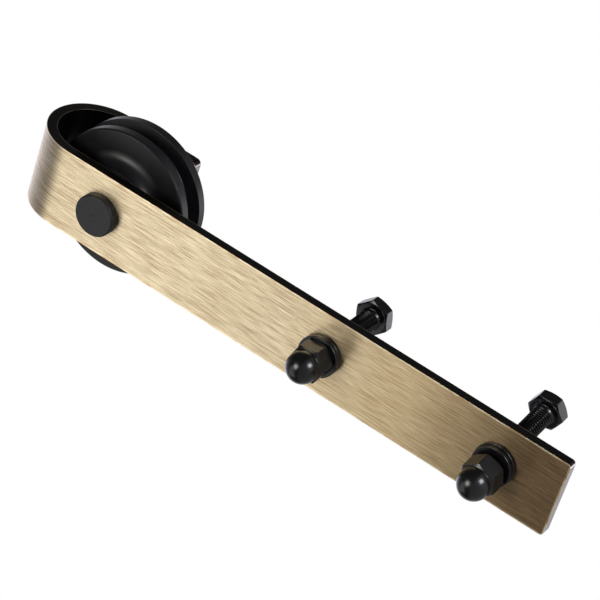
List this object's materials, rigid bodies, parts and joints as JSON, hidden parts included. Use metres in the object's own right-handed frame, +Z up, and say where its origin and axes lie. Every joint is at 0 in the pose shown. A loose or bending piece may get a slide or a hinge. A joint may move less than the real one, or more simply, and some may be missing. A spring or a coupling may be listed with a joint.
{
  "type": "sliding barn door hanger",
  "caption": "Bent flat-strap hanger with a grooved roller on a ball bearing and bolts with washers and dome nuts, for hanging a sliding door on a flat rail.",
  "frame": {"origin": "midway between the two bolt holes, on the face of the long leg that lies against the door", "axes": "+Z up along the strap towards the roller, +Y out of the door face towards the door, X along the rail"},
  "size_m": [0.071, 0.0849, 0.2991],
  "materials": {
    "bronze_strap": "steel plated antique bronze and brushed along its length, black at the cut edges and inside, worn to copper on the corners",
    "black_nylon": "black nylon, turned, satin",
    "bearing_steel": "ground and polished bearing steel",
    "black_axle": "turned steel, matt black with a worn rim",
    "black_fasteners": "steel with a smooth satin-gloss black coating",
    "zinc_spacers": "zinc-plated turned steel"
  },
  "bodies": {
    "hanger": {"strap": "bronze_strap", "axle_pin": "black_axle", "axle_spacer_front": "zinc_spacers", "axle_spacer_back": "zinc_spacers", "bearing_inner_ring": "bearing_steel", "axle_washer": "black_fasteners", "axle_lock_nut": "black_fasteners"},
    "roller": {"roller_wheel": "black_nylon", "bearing_outer_ring": "bearing_steel", "bearing_shield_front": "bearing_steel", "bearing_shield_back": "bearing_steel", "bearing_snap_ring": "black_fasteners"},
    "ball_cage": {"bearing_cage": "bearing_steel", "bearing_ball_1": "bearing_steel", "bearing_ball_2": "bearing_steel", "bearing_ball_3": "bearing_steel", "bearing_ball_4": "bearing_steel", "bearing_ball_5": "bearing_steel", "bearing_ball_6": "bearing_steel", "bearing_ball_7": "bearing_steel"},
    "upper_bolt": {"upper_hex_bolt": "black_fasteners"},
    "upper_washers": {"upper_strap_washer": "black_fasteners", "upper_nut_washer": "black_fasteners"},
    "upper_nut": {"upper_dome_nut": "black_fasteners"},
    "lower_bolt": {"lower_hex_bolt": "black_fasteners"},
    "lower_washers": {"lower_strap_washer": "black_fasteners", "lower_nut_washer": "black_fasteners"},
    "lower_nut": {"lower_dome_nut": "black_fasteners"}
  },
  "joints": [
    {"name": "roller_spin", "type": "hinge", "parent": "hanger", "child": "roller", "pos_m": [0, 0.0194, 0.172], "axis": [0, 1, 0], "continuous": true},
    {"name": "cage_spin", "type": "hinge", "parent": "hanger", "child": "ball_cage", "pos_m": [0, 0.0194, 0.172], "axis": [0, 1, 0], "continuous": true},
    {"name": "upper_bolt_slide", "type": "slide", "parent": "hanger", "child": "upper_bolt", "axis": [0, -1, 0], "range_m": [0, 0.0366]},
    {"name": "upper_washer_slide", "type": "slide", "parent": "upper_bolt", "child": "upper_washers", "axis": [0, -1, 0], "range_m": [0, 0.0121]},
    {"name": "upper_nut_turn", "type": "hinge", "parent": "upper_washers", "child": "upper_nut", "pos_m": [0, -0.0095, 0.0464], "axis": [0, -1, 0], "range_deg": [0, 2880]},
    {"name": "lower_bolt_slide", "type": "slide", "parent": "hanger", "child": "lower_bolt", "axis": [-0.1736, -0.9848, 0], "range_m": [0, 0.0338]},
    {"name": "lower_washer_slide", "type": "slide", "parent": "lower_bolt", "child": "lower_washers", "axis": [-0.1736, -0.9848, 0], "range_m": [0, 0.0121]},
    {"name": "lower_nut_turn", "type": "hinge", "parent": "lower_washers", "child": "lower_nut", "pos_m": [-0.00076, -0.01084, -0.0464], "axis": [-0.1736, -0.9848, 0], "range_deg": [0, 2880]}
  ],
  "couplings": [
    {"joint": "cage_spin", "follows": "roller_spin", "ratio": 0.63222},
    {"joint": "upper_washer_slide", "follows": "upper_nut_turn", "m_per_rad": 0.00023873},
    {"joint": "lower_washer_slide", "follows": "lower_nut_turn", "m_per_rad": 0.00023873}
  ]
}
